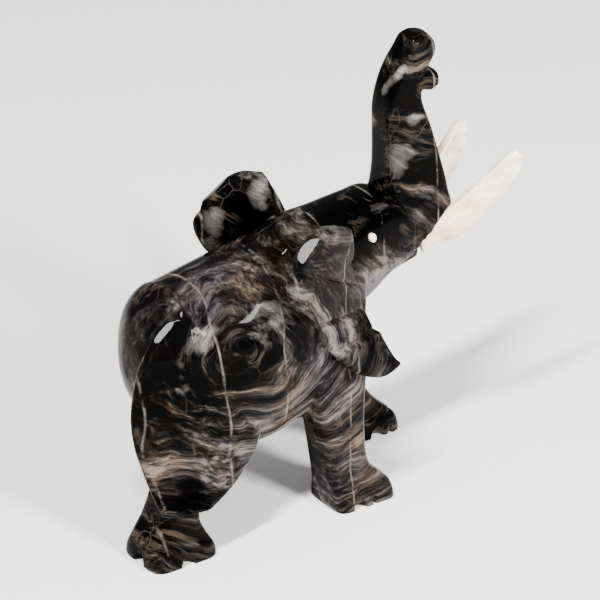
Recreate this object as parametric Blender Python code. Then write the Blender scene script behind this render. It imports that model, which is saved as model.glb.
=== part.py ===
"""Elephant carved from one block of veined marble, standing with its trunk raised.

The body is one solid. Two tusks of white stone are set in sockets under the root of
the trunk, and two white stone eyes are set in shallow seats. The model faces +X, its
left side is +Y, and it stands on z = 0 with the middle of its box at the origin.
Sizes are in metres. The carving's own numbers are shares of the height, which is TOP
parts of one PART each.
"""
import math

import bmesh
import bpy
from mathutils import Vector

# Driving dimensions
HEIGHT = 0.200
TUSK_LENGTH = 0.052
TUSK_WIDTH = 0.0155
TUSK_THICKNESS = 0.0078
TUSK_SAG = 0.32
TUSK_SEAT = 0.006
EYE_LENGTH = 0.0044
EYE_WIDTH = 0.0034
EYE_SEAT = 0.0016
EYE_PROUD = 0.0003
SEAT_GAP = 0.0003
TOP = 197
PART = HEIGHT / TOP

# Fineness of the carved surface
VOXEL = 0.75 * PART
POLISH_PASSES = 4
CARVED_TRIANGLES = 6780
LOFT_SIDES = 36
LOFT_STEPS = 6
CAP_SHARES = (0.34, 0.62, 0.84, 0.97)

# Body along x: (x, low, high, half width, squareness)
TORSO = [
    (-74, 43, 112, 28.3, 2.3),
    (-50, 33, 116.5, 32, 2.3),
    (-28, 33.5, 121, 31, 2.2),
    (-8, 40, 125, 27, 2.2),
    (7, 50, 121, 20, 2.2),
]
RUMP_DEPTH = 22
RUMP_SWAY = 1.2
CHEST_DEPTH = 7
HEAD = [
    (-44, 90, 112, 18, 2.2),
    (-22, 76, 125, 20, 2.5),
    (0, 77, 127.2, 18, 2.7),
    (15, 81, 128.4, 16.5, 2.9),
    (27, 90, 128, 15.4, 3.3),
    (37, 95, 120, 14.5, 3.4),
]
FACE_DEPTH = 5
JAW = [
    (4, 66, 92, 12, 2.4),
    (19, 81, 102, 10.5, 2.6),
    (32, 88.5, 104, 9, 2.8),
    (43, 91.5, 100, 7.5, 3.0),
]
LIP_DEPTH = 4.5

# Trunk from its boss to its tip: (back x, back z, front x, front z, half width, squareness)
TRUNK = [
    (25, 95, 44, 99, 11.0, 4.0),
    (26, 106, 60.5, 111, 13.5, 4.6),
    (28.5, 122, 59.5, 124, 12.0, 5.0),
    (30.0, 136, 56.5, 137, 10.4, 5.2),
    (29.6, 152, 51.8, 153, 9.2, 5.2),
    (29.2, 165, 47.0, 167, 8.4, 5.0),
    (31.5, 176, 48.2, 174, 8.0, 4.6),
    (35.2, 184, 50.6, 181, 7.8, 4.2),
    (38.9, 189.5, 54.2, 186.5, 7.6, 3.8),
    (41.4, 194.2, 54.3, 191.5, 6.7, 3.4),
    (44.2, 197.0, 51.4, 195.4, 3.4, 2.8),
]
LEDGE_DEPTH = 3.2

# Legs upward: (z, back, front, right side, left side, squareness)
LEGS = {
    "right_fore": [
        (-3, -17, 13, -38.6, -12, 6),
        (4, -16.8, 12.6, -38.2, -12.2, 6),
        (9.5, -17.0, 10.4, -36.8, -12.6, 5.4),
        (18, -18.5, 2.8, -34, -13.2, 4.4),
        (34, -21, 1.2, -33.4, -12.6, 4),
        (52, -23.5, 3, -32.5, -10, 3.4),
        (72, -27, 8, -30, -6, 2.8),
    ],
    "left_fore": [
        (-3, 18, 49, 7.6, 34, 6),
        (4, 18.2, 48.6, 7.8, 33.8, 6),
        (9.5, 16, 46, 8.4, 32.6, 5.4),
        (19, 11, 36.5, 9.2, 31, 4.4),
        (32, 3, 28, 9.4, 31, 4),
        (50, -8, 21, 8, 31, 3.4),
        (70, -20, 13, 4, 29, 2.8),
    ],
    "right_hind": [
        (-3, -108.5, -76.5, -35, -6.8, 5.4),
        (4, -108.4, -76.5, -35, -7.0, 5.4),
        (11, -105.5, -80, -33, -8.4, 4.8),
        (18, -101.5, -82.5, -31.5, -9.4, 4.6),
        (27, -98, -82, -31, -9.8, 4.2),
    ],
    "left_hind": [
        (-3, -71, -43, 8, 34, 5.4),
        (4, -70.6, -43.4, 8.2, 33.8, 5.4),
        (11, -68, -46, 9.4, 32, 4.8),
        (18, -67, -47, 10, 31, 4.4),
        (28, -68, -46, 10, 31, 4),
        (44, -74, -45, 8, 30.5, 3.2),
        (66, -80, -50, 4, 27, 2.6),
    ],
}

# Right haunch upward: (z, arris x, arris y, length, width, turn in degrees, squareness)
HAUNCH = [
    (24.0, -101.5, -31, 22, 24, -13, 7),
    (31, -102, -25.5, 36, 23, -17, 6),
    (40, -102.5, -19.5, 46, 22, -22, 5.4),
    (50, -103, -14.5, 52, 20, -26, 5),
    (64, -104, -12.5, 43, 19, -31, 4.6),
    (80, -102, -13, 35, 17, -30, 4.2),
    (91, -99, -13.8, 26, 13, -32, 4.0),
    (99, -92.6, -13.6, 17, 9, -34, 3.8),
    (104.5, -86, -13, 9, 5, -35, 3.4),
    (107.5, -80, -12, 3, 2, -36, 3.0),
]
HAUNCH_REAR_TURN = 1.75
HAUNCH_SIDES = 48

# Notches round the soles: a wide one and, on the fore feet, slits between the toes, along x
NOTCHES = {
    "right_fore": (-6.5, 1.0),
    "left_fore": (35.5, 42.5),
    "right_hind": (-92.5, None),
    "left_hind": (-57, None),
}
NOTCH_HALF = (3.2, 4.2, 5.4)
SLIT_HALF = (0.9, 2.4, 6.5)
FRONT_SLIT_SHARES = (-0.22, 0.22)

# Groove over the toes of the fore feet
TOE_TOP = 9.8
TOE_GROOVE_DEPTH = 2.2
TOE_GROOVE_HALF = 1.4
TOE_GROOVE_REACH = math.radians(112)
TOE_GROOVE_STEPS = 28

# Ears, for the left side: points down the rim and down the hinge on the cheek
EAR_RIM = [Vector(p) for p in (
    (-12, 29.5, 134.0), (-21, 30.5, 135.5), (-34, 33, 129.5), (-42, 36, 119.5), (-38, 34.5, 106),
    (-28, 33, 93), (-20.5, 33.5, 79), (-10.5, 35, 68), (2, 36, 62), (13, 35.5, 64))]
EAR_HINGE = [Vector(p) for p in (
    (-9, 28, 132), (-4.2, 25, 121), (-0.5, 19.3, 106), (3.2, 19.3, 94), (3.6, 19.5, 90.5),
    (4.2, 20.5, 87), (6, 27, 80), (7.6, 29.5, 75.5), (9.6, 32, 70.5), (11.5, 34, 66))]
EAR_OUT = Vector((0.32, 0.94, 0.08)).normalized()
EAR_NOTCHES = (0.0, 0.30, 0.56, 0.68, 1.0)
EAR_NOTCH_DEPTHS = (1.0, 1.1, 0.4, 0.5, 1.0)
EAR_THICKNESS = 6.0
EAR_ROOT = 5.0
EAR_ROOT_REACH = 0.6
EAR_DOME = 1.8
EAR_SCALLOP = 3.2
EAR_SCALLOP_LEVEL = 0.6
EAR_LENGTH = 120
EAR_LOBE_LEAN = 1.25
EAR_LOBE_FULLNESS = 0.75

# The lobes lie like shingles: how far each stands out, down the ear
EAR_SHINGLES = (
    (0.0, 0.2), (0.08, 0.5), (0.27, 0.3), (0.286, -0.5), (0.302, 0.9), (0.54, 0.1),
    (0.552, -1.0), (0.564, 0.4), (0.662, -0.9), (0.672, -1.4), (0.682, 1.6), (1.0, 0.4))

# Bevel down the rim: how wide it is and how steeply it drops
EAR_BEVELS = ((0.0, 0.6), (0.29, 0.8), (0.31, 3.0), (0.40, 1.0), (1.0, 1.0))
EAR_BEVEL_SLOPE = 1.1

# Flat facet ground along the rim of the top lobe: a point on it and the way that it faces
EAR_FACET = Vector((-29.3, 34.1, 131.5))
EAR_FACET_OUT = Vector((-0.468, 0.514, 0.718)).normalized()
EAR_FACET_END = 0.29
EAR_ROUND = 1.6
EAR_THIN_EDGE = 0.85

# Crease across the top lobe, from the hinge
EAR_CREASE = 0.195
EAR_CREASE_HALF = 0.016
EAR_CREASE_DEPTH = 1.3
EAR_CREASE_REACH = 0.62
EAR_ACROSS = 40
EAR_DOWN = 120

# Tail in relief, from the top of the rump into the arris of the haunch: (x, y, z, width)
TAIL = [
    (-78.5, -11.6, 107.2, 0.4),
    (-85.5, -12.8, 104.2, 1.2),
    (-92.4, -13.6, 98.6, 1.8),
    (-97.8, -13.8, 91.5, 1.6),
    (-99.5, -14.6, 84, 0.8),
]
TAIL_SIDES = 24
TAIL_SQUARENESS = 5.0

# Tusks, for the left side: where they leave the lip, which way they run and how full they are
TUSK_ROOT = (50, 10, 103.4)
TUSK_CHORD = (0.753, 0.190, 0.629)
TUSK_LIFT = (-0.610, -0.154, 0.777)
TUSK_LEAN = (-0.2, 0, 1)
TUSK_SHARES = (0.0, 0.2, 0.4, 0.6, 0.8, 0.93, 1.0)
TUSK_FULLNESS = (0.86, 1.0, 1.0, 0.96, 0.84, 0.6, 0.26)
TUSK_SEAT_FULLNESS = 0.8
TUSK_SQUARENESS = 2.2

# Eyes, for the left side
EYE_PLACE = (14.5, 16.5, 115)
EYE_OUT = (0.12, 1, 0.12)
EYE_SLANT = (0.55, 0, -1)
EYE_CROWN = ((0.2, 1), (0.8, 0.8), (1.0, 0.4))
INLAY_SIDES = 14

FLOOR_SPAN = (400, 200, 20)


def smooth_between(values, t):
    """Catmull-Rom value at t, from 0 at the first of the values to 1 at the last."""
    spans = len(values) - 1
    place = min(max(t, 0.0), 1.0) * spans
    k = min(int(place), spans - 1)
    f = place - k
    a, b, c, d = (values[min(max(k + j, 0), spans)] for j in (-1, 0, 1, 2))
    return 0.5 * ((2 * b) + (c - a) * f + (2 * a - 5 * b + 4 * c - d) * f ** 2
                  + (3 * b - a - 3 * c + d) * f ** 3)


def eased(t):
    """0 to 1 with no corner at either end."""
    t = min(max(t, 0.0), 1.0)
    return t * t * (3 - 2 * t)


def squared(angle, squareness):
    """Point of a rounded square of half size 1: squareness 2 is a circle."""
    c = math.cos(angle)
    s = math.sin(angle)
    power = 2 / squareness
    return math.copysign(abs(c) ** power, c), math.copysign(abs(s) ** power, s)


def loft(bm, stations, sides=LOFT_SIDES, steps=LOFT_STEPS):
    """Skin through stations of (centre, half axis, half axis, squareness), in parts."""
    columns = [[Vector(station[k]) for station in stations] for k in range(3)]
    hardness = [station[3] for station in stations]
    count = (len(stations) - 1) * steps
    rings = []
    for i in range(count + 1):
        t = i / count
        centre, across, along = (smooth_between(column, t) for column in columns)
        square = smooth_between(hardness, t)
        ring = []
        for k in range(sides):
            a, b = squared(2 * math.pi * (k + 0.5) / sides, square)
            ring.append(bm.verts.new((centre + across * a + along * b) * PART))
        rings.append(ring)
    for low, high in zip(rings, rings[1:]):
        for k in range(sides):
            n = (k + 1) % sides
            bm.faces.new((low[k], low[n], high[n], high[k]))
    bm.faces.new(rings[0][::-1])
    bm.faces.new(rings[-1])


def rounded(stations, start=0.0, end=0.0):
    """The stations with a round cap, start and end deep, past either end."""
    result = list(stations)
    for depth, first in ((start, True), (end, False)):
        if not depth:
            continue
        centre, across, along, square = stations[0] if first else stations[-1]
        inner = stations[1][0] if first else stations[-2][0]
        way = (Vector(centre) - Vector(inner)).normalized()
        for share in CAP_SHARES:
            shrink = math.sqrt(1 - share ** 2)
            cap = (Vector(centre) + way * depth * share, Vector(across) * shrink,
                   Vector(along) * shrink, square)
            if first:
                result.insert(0, cap)
            else:
                result.append(cap)
    return result


def lengthwise(rows, sway=0.0):
    """Stations along x; sway moves the first of them to the left."""
    return [((x, 0 if k else sway, (low + high) / 2), (0, half, 0), (0, 0, (high - low) / 2), square)
            for k, (x, low, high, half, square) in enumerate(rows)]


def upright(rows):
    return [(((back + front) / 2, (right + left) / 2, z), ((front - back) / 2, 0, 0),
             (0, (left - right) / 2, 0), square)
            for z, back, front, right, left, square in rows]


def in_profile(rows):
    stations = []
    for back_x, back_z, front_x, front_z, half, square in rows:
        centre = ((back_x + front_x) / 2, 0, (back_z + front_z) / 2)
        along = ((front_x - back_x) / 2, 0, (front_z - back_z) / 2)
        stations.append((centre, (0, half, 0), along, square))
    return stations


def trunk_ledge(bm):
    """Lower lip of the trunk's tip, a ledge between two notches."""
    loft(bm, rounded([
        ((37.5, 0, 180.0), (0, 8.2, 0), (-0.8, 0, 2.2), 4.4),
        ((41, 0, 178.6), (0, 8.8, 0), (-1.2, 0, 3.8), 4.4),
        ((46, 0, 176.0), (0, 8.8, 0), (-1.2, 0, 5.0), 4.4),
        ((50.5, 0, 174.6), (0, 8.4, 0), (-0.7, 0, 5.0), 4.0),
        ((53.4, 0, 174.4), (0, 7.8, 0), (-0.4, 0, 4.2), 3.4),
    ], end=LEDGE_DEPTH))


def haunch(bm):
    """Right haunch with a sharp rear arris, ending in a hem over the narrower shank."""
    stations = []
    for z, x, y, length, width, turn, square in HAUNCH:
        angle = math.radians(turn)
        rear = angle * HAUNCH_REAR_TURN
        along = Vector((math.cos(angle), math.sin(angle), 0)) * length / 2
        across = Vector((-math.sin(rear), math.cos(rear), 0)) * width / 2
        corner = 2 ** (-1 / square)
        centre = Vector((x, y, z)) + (along + across) * corner
        stations.append((centre, along, across, square))
    loft(bm, stations, sides=HAUNCH_SIDES)


def lobe(t):
    """0 in a notch of the ear, 1 in the middle of a lobe."""
    for low, high in zip(EAR_NOTCHES, EAR_NOTCHES[1:]):
        if t <= high:
            share = min(max((t - low) / (high - low), 0.0), 1.0)
            return math.sin(math.pi * share ** EAR_LOBE_LEAN) ** EAR_LOBE_FULLNESS
    return 0.0


def between(places, t):
    """Value at t along straight lines through pairs of (place, value)."""
    for (low, one), (high, two) in zip(places, places[1:]):
        if t <= high:
            return one + (two - one) * (t - low) / (high - low)
    return places[-1][1]


def ear_point(t, s, outer):
    """Point of the left ear, t down its length and s from the hinge to the rim."""
    rim = smooth_between(EAR_RIM, t)
    hinge = smooth_between(EAR_HINGE, t)
    spread = (rim - hinge).normalized()
    depth = between(list(zip(EAR_NOTCHES, EAR_NOTCH_DEPTHS)), t)
    edge = rim + spread * EAR_SCALLOP * depth * (lobe(t) - EAR_SCALLOP_LEVEL)
    breadth = (edge - hinge).length
    ends = min(t, 1 - t) * EAR_LENGTH
    inset = max(0, 1 - min(s * breadth, (1 - s) * breadth, ends) / EAR_ROUND)
    half = EAR_THICKNESS / 2 * (1 - EAR_THIN_EDGE * (1 - math.sqrt(1 - inset ** 2)))
    low = EAR_DOME * math.sin(math.pi * s)
    rise = low
    if not outer:
        half += EAR_ROOT * (1 - eased(s / EAR_ROOT_REACH))
        return hinge.lerp(edge, s) + EAR_OUT * (rise - half)
    crease = max(0, 1 - abs(t - EAR_CREASE) / EAR_CREASE_HALF)
    relief = between(EAR_SHINGLES, t)
    relief -= EAR_BEVEL_SLOPE * max(0, between(EAR_BEVELS, t) - (1 - s) * breadth)
    relief -= EAR_CREASE_DEPTH * crease * eased((EAR_CREASE_REACH - s) * 4)
    rise += half + relief
    if t < EAR_FACET_END:
        over = (hinge.lerp(edge, s) + EAR_OUT * rise - EAR_FACET).dot(EAR_FACET_OUT)
        rise -= max(0, over) / EAR_OUT.dot(EAR_FACET_OUT)
    return hinge.lerp(edge, s) + EAR_OUT * max(rise, low - half / 2)


def ear(bm, side):
    """Fluted ear, a curved slab with a scalloped rim."""
    sheets = []
    for outer in (True, False):
        sheet = []
        for i in range(EAR_DOWN + 1):
            row = []
            for j in range(EAR_ACROSS + 1):
                point = ear_point(i / EAR_DOWN, j / EAR_ACROSS, outer)
                point.y *= side
                row.append(bm.verts.new(point * PART))
            sheet.append(row)
        for low, high in zip(sheet, sheet[1:]):
            for j in range(EAR_ACROSS):
                quad = (low[j], low[j + 1], high[j + 1], high[j])
                bm.faces.new(quad if outer == (side > 0) else quad[::-1])
        sheets.append([row[0] for row in sheet] + sheet[-1][1:]
                      + [row[-1] for row in sheet[-2::-1]] + sheet[0][-2:0:-1])
    one, two = sheets
    for k in range(len(one)):
        n = (k + 1) % len(one)
        quad = (one[k], one[n], two[n], two[k])
        bm.faces.new(quad if side > 0 else quad[::-1])


def tail(bm):
    stations = []
    for x, y, z, width in TAIL:
        half = width * math.sqrt(0.5)
        stations.append(((x, y, z), (half, half, 0), (half, -half, 0), TAIL_SQUARENESS))
    loft(bm, stations, sides=TAIL_SIDES)


def new_object(name, bm, material=None):
    bmesh.ops.recalc_face_normals(bm, faces=bm.faces)
    mesh = bpy.data.meshes.new(name)
    bm.to_mesh(mesh)
    bm.free()
    obj = bpy.data.objects.new(name, mesh)
    bpy.context.scene.collection.objects.link(obj)
    if material:
        mesh.materials.append(material)
    return obj


def new_material(name, colour, roughness):
    made = bpy.data.materials.new(name)
    made.use_nodes = True
    shader = made.node_tree.nodes["Principled BSDF"]
    shader.inputs["Base Color"].default_value = (*colour, 1)
    shader.inputs["Roughness"].default_value = roughness
    shader.inputs["Metallic"].default_value = 0
    made.diffuse_color = (*colour, 1)
    return made


def cut(target, tool):
    """Takes the tool's shape out of the target."""
    tool.hide_render = True
    tool.display_type = "WIRE"
    boolean = target.modifiers.new(tool.name, "BOOLEAN")
    boolean.operation = "DIFFERENCE"
    boolean.solver = "EXACT"
    boolean.object = tool


def floor_block():
    """Block whose top is the plane that the soles stand on."""
    bm = bmesh.new()
    bmesh.ops.create_cube(bm, size=1)
    bmesh.ops.scale(bm, verts=bm.verts, vec=Vector(FLOOR_SPAN) * PART)
    bmesh.ops.translate(bm, verts=bm.verts, vec=(0, 0, -FLOOR_SPAN[2] / 2 * PART))
    return bm


def scoop(bm, place, size):
    """Rounded hollow, a ball stretched to the half sizes."""
    for vert in bmesh.ops.create_icosphere(bm, subdivisions=1, radius=1)["verts"]:
        vert.co = Vector([place[k] + vert.co[k] * size[k] for k in range(3)]) * PART


def sole_notches():
    """Arches and slits that divide the soles into toes."""
    bm = bmesh.new()
    along, deep, tall = NOTCH_HALF
    for name, (notch_x, slit_x) in NOTCHES.items():
        back, front, right, left = LEGS[name][0][1:5]
        middle = (right + left) / 2
        for side in (right, left):
            scoop(bm, (notch_x, side, 0), NOTCH_HALF)
        if slit_x is None:
            for end in (back, front):
                scoop(bm, (end, middle, 0), (deep, along, tall))
            continue
        for side in (right, left):
            scoop(bm, (slit_x, side, 0), SLIT_HALF)
        for share in FRONT_SLIT_SHARES:
            place = (front, middle + share * (left - right), 0)
            scoop(bm, place, (SLIT_HALF[1], SLIT_HALF[0], SLIT_HALF[2]))
    return bm


def toe_groove(name):
    """Groove over the toes, round the front half of a fore foot."""
    back, front, right, left = LEGS[name][2][1:5]
    centre = Vector(((back + front) / 2, (right + left) / 2, 0))
    half = Vector(((front - back) / 2, (left - right) / 2, 0))
    stations = []
    for k in range(TOE_GROOVE_STEPS + 1):
        angle = TOE_GROOVE_REACH * (2 * k / TOE_GROOVE_STEPS - 1)
        a, b = squared(angle, LEGS[name][2][5])
        out = Vector((half.x * a, half.y * b, 0))
        fade = eased(min(k, TOE_GROOVE_STEPS - k) / 5)
        stations.append((centre + out + Vector((0, 0, TOE_TOP)),
                         out.normalized() * TOE_GROOVE_DEPTH * (0.15 + 0.85 * fade),
                         (0, 0, TOE_GROOVE_HALF * (0.2 + 0.8 * fade)), 2))
    bm = bmesh.new()
    loft(bm, stations, sides=8, steps=1)
    return bm


def mirrored(direction, side):
    return Vector((direction[0], direction[1] * side, direction[2]))


def tusk(side, grow=0.0):
    """Tusk from the end of its seat to its blunt tip; grow makes it larger all round."""
    root = mirrored(TUSK_ROOT, side) * PART
    chord = mirrored(TUSK_CHORD, side).normalized()
    lift = mirrored(TUSK_LIFT, side).normalized()
    shares = (-(TUSK_SEAT + grow) / TUSK_LENGTH, *TUSK_SHARES)
    stations = []
    for share, full in zip(shares, (TUSK_SEAT_FULLNESS, *TUSK_FULLNESS)):
        centre = root + (chord * share - lift * TUSK_SAG * share * (1 - share)) * TUSK_LENGTH
        way = (chord - lift * TUSK_SAG * (1 - 2 * share)).normalized()
        out = way.cross(Vector(TUSK_LEAN)).normalized()
        tall = out.cross(way).normalized()
        half_width = TUSK_WIDTH / 2 * full + grow
        half_thick = TUSK_THICKNESS / 2 * full + grow
        stations.append((centre / PART, tall * half_width / PART, out * half_thick / PART,
                         TUSK_SQUARENESS))
    bm = bmesh.new()
    loft(bm, stations, sides=INLAY_SIDES, steps=2)
    return bm


def eye(side, grow=0.0):
    """Oval inlay, a short plug with a low crown; grow makes it larger all round."""
    place = mirrored(EYE_PLACE, side) * PART
    out = mirrored(EYE_OUT, side).normalized()
    along = Vector(EYE_SLANT).cross(out).cross(out).normalized() * (EYE_LENGTH / 2 + grow)
    over = out.cross(along).normalized() * (EYE_WIDTH / 2 + grow)
    rows = [(-EYE_SEAT - grow, 1)] + [(EYE_PROUD * rise, share) for rise, share in EYE_CROWN]
    bm = bmesh.new()
    loft(bm, [((place + out * depth) / PART, along * share / PART, over * share / PART, 2)
              for depth, share in rows], sides=INLAY_SIDES, steps=1)
    return bm


def triangle_count(obj):
    """Triangles of the object as its modifiers leave it."""
    evaluated = obj.evaluated_get(bpy.context.evaluated_depsgraph_get())
    return sum(len(face.vertices) - 2 for face in evaluated.data.polygons)


def carve(elephant):
    """Fuses the roughed-out forms, polishes them and thins the mesh."""
    remesh = elephant.modifiers.new("carve", "REMESH")
    remesh.mode = "VOXEL"
    remesh.voxel_size = VOXEL
    remesh.use_smooth_shade = True
    polish = elephant.modifiers.new("polish", "SMOOTH")
    polish.factor = 0.5
    polish.iterations = POLISH_PASSES
    bpy.context.view_layer.update()
    thin = elephant.modifiers.new("thin", "DECIMATE")
    thin.ratio = CARVED_TRIANGLES / triangle_count(elephant)
    thin.use_collapse_triangulate = True


def rough_out():
    """All the forms of the body, still overlapping."""
    bm = bmesh.new()
    loft(bm, rounded(lengthwise(TORSO, RUMP_SWAY), start=RUMP_DEPTH, end=CHEST_DEPTH))
    loft(bm, rounded(lengthwise(HEAD), end=FACE_DEPTH))
    loft(bm, rounded(lengthwise(JAW), end=LIP_DEPTH))
    loft(bm, in_profile(TRUNK))
    trunk_ledge(bm)
    for rows in LEGS.values():
        loft(bm, upright(rows))
    haunch(bm)
    for side in (-1, 1):
        ear(bm, side)
    tail(bm)
    return bm


def stand_on_centre():
    """Hangs every object on an empty that brings the middle of their box over the origin."""
    bpy.context.view_layer.update()
    graph = bpy.context.evaluated_depsgraph_get()
    corners = [Vector(corner) for obj in bpy.data.objects if not obj.hide_render
               for corner in obj.evaluated_get(graph).bound_box]
    middle = [(min(c[k] for c in corners) + max(c[k] for c in corners)) / 2 for k in (0, 1)]
    stand = bpy.data.objects.new("stand", None)
    bpy.context.scene.collection.objects.link(stand)
    stand.location = (-middle[0], -middle[1], 0)
    for obj in bpy.data.objects:
        if obj is not stand:
            obj.parent = stand


def build():
    for obj in list(bpy.data.objects):
        bpy.data.objects.remove(obj, do_unlink=True)
    marble = new_material("veined_dark_marble", (0.045, 0.040, 0.038), 0.12)
    white = new_material("white_onyx", (0.82, 0.76, 0.68), 0.3)
    elephant = new_object("elephant", rough_out(), marble)
    carve(elephant)
    cut(elephant, new_object("floor_cutter", floor_block()))
    cut(elephant, new_object("sole_notch_cutter", sole_notches()))
    for name in ("right_fore", "left_fore"):
        cut(elephant, new_object(f"toe_groove_{name}", toe_groove(name)))
    for side, word in ((-1, "right"), (1, "left")):
        cut(elephant, new_object(f"tusk_socket_{word}", tusk(side, SEAT_GAP)))
        cut(elephant, new_object(f"eye_socket_{word}", eye(side, SEAT_GAP)))
        new_object(f"tusk_{word}", tusk(side), white)
        new_object(f"eye_{word}", eye(side), white)
    stand_on_centre()


build()
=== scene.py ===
import math

import bmesh
import bpy
from mathutils import Matrix, Quaternion, Vector


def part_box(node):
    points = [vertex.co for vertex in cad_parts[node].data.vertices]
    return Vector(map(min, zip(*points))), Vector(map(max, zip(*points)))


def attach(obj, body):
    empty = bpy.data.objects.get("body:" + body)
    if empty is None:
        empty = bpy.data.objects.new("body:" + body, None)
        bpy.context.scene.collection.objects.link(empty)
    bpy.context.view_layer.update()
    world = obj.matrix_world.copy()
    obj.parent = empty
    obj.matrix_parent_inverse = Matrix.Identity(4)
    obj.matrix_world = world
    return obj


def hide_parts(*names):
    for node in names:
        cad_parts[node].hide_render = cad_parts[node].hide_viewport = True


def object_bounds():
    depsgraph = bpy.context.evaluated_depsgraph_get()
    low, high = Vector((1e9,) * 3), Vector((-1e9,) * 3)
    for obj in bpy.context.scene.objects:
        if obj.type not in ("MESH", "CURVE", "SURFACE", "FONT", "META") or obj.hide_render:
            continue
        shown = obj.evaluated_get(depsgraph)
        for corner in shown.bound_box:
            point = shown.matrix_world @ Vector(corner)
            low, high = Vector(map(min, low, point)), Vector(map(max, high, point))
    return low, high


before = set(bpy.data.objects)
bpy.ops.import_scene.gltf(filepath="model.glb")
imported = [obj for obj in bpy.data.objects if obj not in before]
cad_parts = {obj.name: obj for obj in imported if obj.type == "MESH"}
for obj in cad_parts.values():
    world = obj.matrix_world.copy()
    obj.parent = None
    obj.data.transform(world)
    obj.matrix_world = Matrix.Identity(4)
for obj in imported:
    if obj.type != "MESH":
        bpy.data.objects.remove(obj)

# Elephant of polished, veined dark marble with tusks and eyes of white onyx.
# The numbers of the carving are shares of its height: TOP parts of one PART each.
cad_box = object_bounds()
TOP = 197
PART = cad_box[1].z / TOP
MM = 0.001

# Fineness of the carved surface
GRAIN = 0.55 * MM
POLISH_PASSES = 6
POLISH_STRENGTH = 0.5
CARVED_TRIANGLES = 185000

# Points nearer than this, in m, become one, and a round cap has a ring every few degrees
WELD = 1e-7
CAP_STEP = 15

# Body along x: (x, low, high, half width, squareness)
TORSO = [
    (-74, 43, 112, 28.3, 2.3),
    (-50, 33, 116.5, 32, 2.3),
    (-28, 33.5, 121, 31, 2.2),
    (-8, 40, 125, 27, 2.2),
    (7, 50, 121, 20, 2.2),
]
RUMP_DEPTH = 22
RUMP_SWAY = 1.2
CHEST_DEPTH = 7
HEAD = [
    (-44, 90, 112, 18, 2.2),
    (-22, 76, 125, 20, 2.5),
    (0, 77, 127.2, 18, 2.7),
    (15, 81, 128.4, 16.5, 2.9),
    (27, 90, 128, 15.4, 3.3),
    (37, 95, 120, 14.5, 3.4),
]
FACE_DEPTH = 5
JAW = [
    (4, 66, 92, 12, 2.4),
    (19, 81, 102, 10.5, 2.6),
    (32, 88.5, 104, 9, 2.8),
    (43, 91.5, 100, 7.5, 3.0),
]
LIP_DEPTH = 4.5

# Trunk upward: (back x, back z, front x, front z, half width, squareness)
TRUNK = [
    (25, 95, 44, 99, 11.0, 4.0),
    (26, 106, 60.5, 111, 13.5, 4.6),
    (28.5, 122, 59.5, 124, 12.0, 5.0),
    (30.0, 136, 56.5, 137, 10.4, 5.2),
    (29.6, 152, 51.8, 153, 9.2, 5.2),
    (29.2, 165, 47.0, 167, 8.4, 5.0),
    (31.5, 176, 48.2, 174, 8.0, 4.6),
    (35.2, 184, 50.6, 181, 7.8, 4.2),
    (38.9, 189.5, 54.2, 186.5, 7.6, 3.8),
    (41.4, 194.2, 54.3, 191.5, 6.7, 3.4),
    (44.2, 197.0, 51.4, 195.4, 3.4, 2.8),
]

# Ledge under the tip of the trunk, forward: (x, z, half width, lean, half height, squareness)
LEDGE = [
    (37.5, 180.0, 8.2, -0.8, 2.2, 4.4),
    (41, 178.6, 8.8, -1.2, 3.8, 4.4),
    (46, 176.0, 8.8, -1.2, 5.0, 4.4),
    (50.5, 174.6, 8.4, -0.7, 5.0, 4.0),
    (53.4, 174.4, 7.8, -0.4, 4.2, 3.4),
]
LEDGE_DEPTH = 3.2

# Legs upward: (z, back, front, right side, left side, squareness)
LEGS = {
    "right_fore": [
        (-3, -17, 13, -38.6, -12, 6),
        (4, -16.8, 12.6, -38.2, -12.2, 6),
        (9.5, -17.0, 10.4, -36.8, -12.6, 5.4),
        (18, -18.5, 2.8, -34, -13.2, 4.4),
        (34, -21, 1.2, -33.4, -12.6, 4),
        (52, -23.5, 3, -32.5, -10, 3.4),
        (72, -27, 8, -30, -6, 2.8),
    ],
    "left_fore": [
        (-3, 18, 49, 7.6, 34, 6),
        (4, 18.2, 48.6, 7.8, 33.8, 6),
        (9.5, 16, 46, 8.4, 32.6, 5.4),
        (19, 11, 36.5, 9.2, 31, 4.4),
        (32, 3, 28, 9.4, 31, 4),
        (50, -8, 21, 8, 31, 3.4),
        (70, -20, 13, 4, 29, 2.8),
    ],
    "right_hind": [
        (-3, -108.5, -76.5, -35, -6.8, 5.4),
        (4, -108.4, -76.5, -35, -7.0, 5.4),
        (11, -105.5, -80, -33, -8.4, 4.8),
        (18, -101.5, -82.5, -31.5, -9.4, 4.6),
        (27, -98, -82, -31, -9.8, 4.2),
    ],
    "left_hind": [
        (-3, -71, -43, 8, 34, 5.4),
        (4, -70.6, -43.4, 8.2, 33.8, 5.4),
        (11, -68, -46, 9.4, 32, 4.8),
        (18, -67, -47, 10, 31, 4.4),
        (28, -68, -46, 10, 31, 4),
        (44, -74, -45, 8, 30.5, 3.2),
        (66, -80, -50, 4, 27, 2.6),
    ],
}

# Right haunch upward: (z, arris x, arris y, length, width, turn in degrees, squareness)
HAUNCH = [
    (24.0, -101.5, -31, 22, 24, -13, 7),
    (31, -102, -25.5, 36, 23, -17, 6),
    (40, -102.5, -19.5, 46, 22, -22, 5.4),
    (50, -103, -14.5, 52, 20, -26, 5),
    (64, -104, -12.5, 43, 19, -31, 4.6),
    (80, -102, -13, 35, 17, -30, 4.2),
    (91, -99, -13.8, 26, 13, -32, 4.0),
    (99, -92.6, -13.6, 17, 9, -34, 3.8),
    (104.5, -86, -13, 9, 5, -35, 3.4),
    (107.5, -80, -12, 3, 2, -36, 3.0),
]
HAUNCH_REAR_TURN = 1.75

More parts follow.
